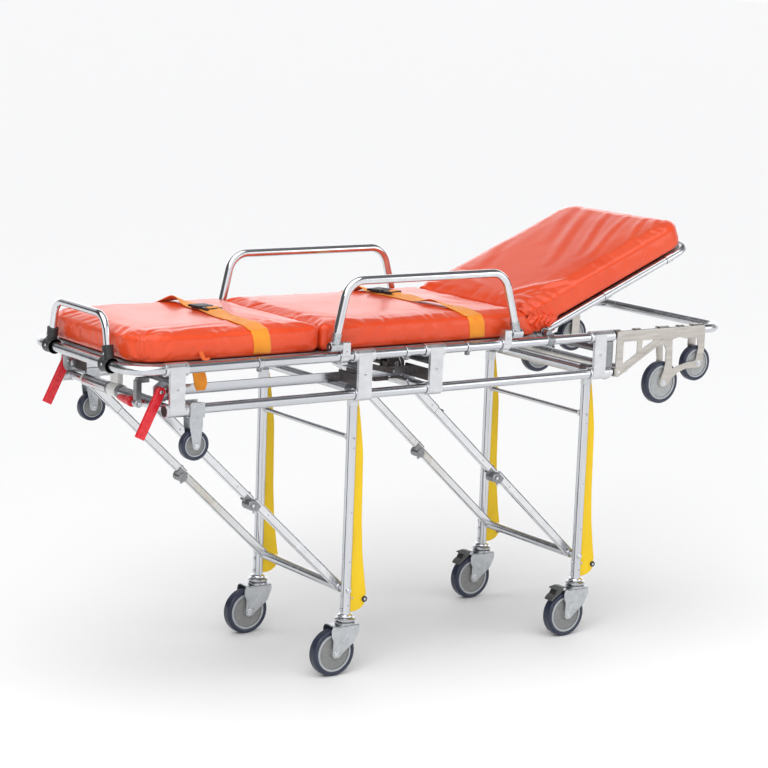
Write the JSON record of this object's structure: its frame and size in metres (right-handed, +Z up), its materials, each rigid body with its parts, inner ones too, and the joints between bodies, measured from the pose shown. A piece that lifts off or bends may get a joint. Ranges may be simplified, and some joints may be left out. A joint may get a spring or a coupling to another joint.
{
  "type": "stretcher trolley",
  "caption": "Tubular alloy stretcher trolley with folding legs, knee braces, loading wheels, raised backrest, drop-down side rails and a padded mattress",
  "frame": {"origin": "on the floor under the middle of the trolley", "axes": "+X runs along the trolley to the head end, +Y is to the far side, +Z is up"},
  "size_m": [1.9115, 0.5852, 1.1552],
  "materials": {
    "aluminium": "bright anodised tube",
    "cast_aluminium": "satin die casting",
    "steel_plate": "stamped stainless plate, brushed",
    "chrome": "polished",
    "zinc_steel": "zinc plated pressed steel",
    "dark_steel": "dark grey coated",
    "tread": "smooth elastomer tread on a grey disc",
    "yellow_plastic": "smooth yellow",
    "red_plastic": "smooth red grip",
    "black_plastic": "smooth black",
    "mattress_cover": "glossy coated fabric, wipe clean",
    "belt": "woven webbing",
    "deck_board": "plain sheet"
  },
  "bodies": {
    "frame": {"foot_bow": "aluminium", "head_bow": "aluminium", "upper_rail_near": "aluminium", "upper_rail_far": "aluminium", "lower_rail_near": "aluminium", "lower_rail_far": "aluminium", "cross_frame_foot": "cast_aluminium", "cross_frame_mid_foot": "cast_aluminium", "cross_frame_mid_head": "cast_aluminium", "cross_frame_head": "cast_aluminium", "latch_housing": "dark_steel", "bed_deck": "deck_board", "head_bracket_near": "steel_plate", "head_bracket_far": "steel_plate", "head_cross_tube": "aluminium", "aux_fork_near": "zinc_steel", "aux_fork_far": "zinc_steel", "mattress_foot": "mattress_cover", "mattress_seat": "mattress_cover", "belt_foot": "belt", "belt_seat": "belt", "buckle_foot": "black_plastic", "buckle_seat": "black_plastic"},
    "legs_foot": {"leg_frame_foot": "aluminium", "leg_guard_foot_near": "yellow_plastic", "leg_guard_foot_far": "yellow_plastic"},
    "upper_brace_foot": {"brace_upper_foot": "aluminium"},
    "lower_brace_foot": {"brace_lower_foot": "aluminium"},
    "castor_foot_near": {"castor_fork_foot_near": "zinc_steel"},
    "wheel_foot_near": {"castor_wheel_foot_near": "tread"},
    "castor_foot_far": {"castor_fork_foot_far": "zinc_steel"},
    "wheel_foot_far": {"castor_wheel_foot_far": "tread"},
    "legs_head": {"leg_frame_head": "aluminium", "leg_guard_head_near": "yellow_plastic", "leg_guard_head_far": "yellow_plastic"},
    "upper_brace_head": {"brace_upper_head": "aluminium"},
    "lower_brace_head": {"brace_lower_head": "aluminium"},
    "castor_head_near": {"castor_fork_head_near": "zinc_steel"},
    "wheel_head_near": {"castor_wheel_head_near": "tread"},
    "pedal_near": {"brake_pedal_near": "dark_steel"},
    "castor_head_far": {"castor_fork_head_far": "zinc_steel"},
    "wheel_head_far": {"castor_wheel_head_far": "tread"},
    "pedal_far": {"brake_pedal_far": "dark_steel"},
    "loading_rear_near": {"loading_wheel_rear_near": "tread"},
    "loading_rear_far": {"loading_wheel_rear_far": "tread"},
    "loading_front_near": {"loading_wheel_front_near": "tread"},
    "loading_front_far": {"loading_wheel_front_far": "tread"},
    "aux_near": {"aux_wheel_near": "tread"},
    "aux_far": {"aux_wheel_far": "tread"},
    "backrest": {"backrest_frame": "aluminium", "mattress_back": "mattress_cover"},
    "side_rail_near_body": {"side_rail_near": "chrome"},
    "side_rail_far_body": {"side_rail_far": "chrome"},
    "guard_rail": {"foot_guard_rail": "chrome", "guard_clamp_near": "black_plastic", "guard_clamp_far": "black_plastic"},
    "lever_near": {"release_lever_near": "red_plastic"},
    "lever_far": {"release_lever_far": "red_plastic"},
    "knob": {"release_knob": "red_plastic"}
  },
  "joints": [
    {"name": "leg_fold_foot", "type": "hinge", "parent": "frame", "child": "legs_foot", "pos_m": [-0.272, 0, 0.749], "axis": [0, 1, 0], "range_deg": [0, 86]},
    {"name": "brace_swing_foot", "type": "hinge", "parent": "frame", "child": "upper_brace_foot", "pos_m": [-0.8235, 0, 0.749], "axis": [0, 1, 0], "range_deg": [-49, 0]},
    {"name": "brace_knee_foot", "type": "hinge", "parent": "legs_foot", "child": "lower_brace_foot", "pos_m": [-0.272, 0, 0.2235], "axis": [0, 1, 0], "range_deg": [0, 42.45]},
    {"name": "swivel_foot_near", "type": "hinge", "parent": "legs_foot", "child": "castor_foot_near", "pos_m": [-0.272, -0.2156, 0.142], "axis": [0, 0, 1], "continuous": true},
    {"name": "spin_foot_near", "type": "hinge", "parent": "castor_foot_near", "child": "wheel_foot_near", "pos_m": [-0.31, -0.2156, 0.0625], "axis": [0, 1, 0], "continuous": true},
    {"name": "swivel_foot_far", "type": "hinge", "parent": "legs_foot", "child": "castor_foot_far", "pos_m": [-0.272, 0.2156, 0.142], "axis": [0, 0, 1], "continuous": true},
    {"name": "spin_foot_far", "type": "hinge", "parent": "castor_foot_far", "child": "wheel_foot_far", "pos_m": [-0.31, 0.2156, 0.0625], "axis": [0, 1, 0], "continuous": true},
    {"name": "leg_fold_head", "type": "hinge", "parent": "frame", "child": "legs_head", "pos_m": [0.5, 0, 0.749], "axis": [0, 1, 0], "range_deg": [0, 86]},
    {"name": "brace_swing_head", "type": "hinge", "parent": "frame", "child": "upper_brace_head", "pos_m": [-0.064, 0, 0.749], "axis": [0, 1, 0], "range_deg": [-46.98, 0]},
    {"name": "brace_knee_head", "type": "hinge", "parent": "legs_head", "child": "lower_brace_head", "pos_m": [0.5, 0, 0.2235], "axis": [0, 1, 0], "range_deg": [0, 44.42]},
    {"name": "swivel_head_near", "type": "hinge", "parent": "legs_head", "child": "castor_head_near", "pos_m": [0.5, -0.2156, 0.142], "axis": [0, 0, 1], "continuous": true},
    {"name": "spin_head_near", "type": "hinge", "parent": "castor_head_near", "child": "wheel_head_near", "pos_m": [0.462, -0.2156, 0.0625], "axis": [0, 1, 0], "continuous": true},
    {"name": "brake_near", "type": "hinge", "parent": "castor_head_near", "child": "pedal_near", "pos_m": [0.45, -0.2156, 0.1355], "axis": [0, -1, 0], "range_deg": [0, 12]},
    {"name": "swivel_head_far", "type": "hinge", "parent": "legs_head", "child": "castor_head_far", "pos_m": [0.5, 0.2156, 0.142], "axis": [0, 0, 1], "continuous": true},
    {"name": "spin_head_far", "type": "hinge", "parent": "castor_head_far", "child": "wheel_head_far", "pos_m": [0.462, 0.2156, 0.0625], "axis": [0, 1, 0], "continuous": true},
    {"name": "brake_far", "type": "hinge", "parent": "castor_head_far", "child": "pedal_far", "pos_m": [0.45, 0.2156, 0.1355], "axis": [0, -1, 0], "range_deg": [0, 12]},
    {"name": "loading_spin_rear_near", "type": "hinge", "parent": "frame", "child": "loading_rear_near", "pos_m": [0.719, -0.27, 0.708], "axis": [0, 1, 0], "continuous": true},
    {"name": "loading_spin_rear_far", "type": "hinge", "parent": "frame", "child": "loading_rear_far", "pos_m": [0.719, 0.27, 0.708], "axis": [0, 1, 0], "continuous": true},
    {"name": "loading_spin_front_near", "type": "hinge", "parent": "frame", "child": "loading_front_near", "pos_m": [0.846, -0.27, 0.754], "axis": [0, 1, 0], "continuous": true},
    {"name": "loading_spin_front_far", "type": "hinge", "parent": "frame", "child": "loading_front_far", "pos_m": [0.846, 0.27, 0.754], "axis": [0, 1, 0], "continuous": true},
    {"name": "aux_spin_near", "type": "hinge", "parent": "frame", "child": "aux_near", "pos_m": [-0.765, -0.266, 0.66], "axis": [0, 1, 0], "continuous": true},
    {"name": "aux_spin_far", "type": "hinge", "parent": "frame", "child": "aux_far", "pos_m": [-0.765, 0.266, 0.66], "axis": [0, 1, 0], "continuous": true},
    {"name": "backrest_tilt", "type": "hinge", "parent": "frame", "child": "backrest", "pos_m": [0.318, 0, 0.868], "axis": [0, -1, 0], "range_deg": [-22.5, 47.5]},
    {"name": "side_rail_fold_near", "type": "hinge", "parent": "frame", "child": "side_rail_near_body", "pos_m": [0, -0.28, 0.877], "axis": [1, 0, 0], "range_deg": [0, 140]},
    {"name": "side_rail_fold_far", "type": "hinge", "parent": "frame", "child": "side_rail_far_body", "pos_m": [0, 0.28, 0.877], "axis": [-1, 0, 0], "range_deg": [0, 140]},
    {"name": "guard_rail_fold", "type": "hinge", "parent": "frame", "child": "guard_rail", "pos_m": [-0.9375, 0, 0.849], "axis": [0, -1, 0], "range_deg": [0, 110]},
    {"name": "release_pull_near", "type": "hinge", "parent": "frame", "child": "lever_near", "pos_m": [-0.848, -0.2461, 0.792], "axis": [0, 1, 0], "range_deg": [0, 35], "stiffness_Nm_per_rad": 1, "springref_deg": -11.46},
    {"name": "release_pull_far", "type": "hinge", "parent": "frame", "child": "lever_far", "pos_m": [-0.848, 0.2461, 0.792], "axis": [0, 1, 0], "range_deg": [0, 35], "stiffness_Nm_per_rad": 1, "springref_deg": -11.46},
    {"name": "knob_pull", "type": "slide", "parent": "frame", "child": "knob", "axis": [0, -1, 0], "range_m": [0, 0.012], "stiffness_N_per_m": 200, "springref_m": -0.01}
  ],
  "couplings": [
    {"joint": "brace_swing_foot", "follows": "leg_fold_foot", "ratio": -0.5692},
    {"joint": "brace_knee_foot", "follows": "leg_fold_foot", "ratio": 0.49307},
    {"joint": "brace_swing_head", "follows": "leg_fold_head", "ratio": -0.54568},
    {"joint": "brace_knee_head", "follows": "leg_fold_head", "ratio": 0.51591}
  ]
}
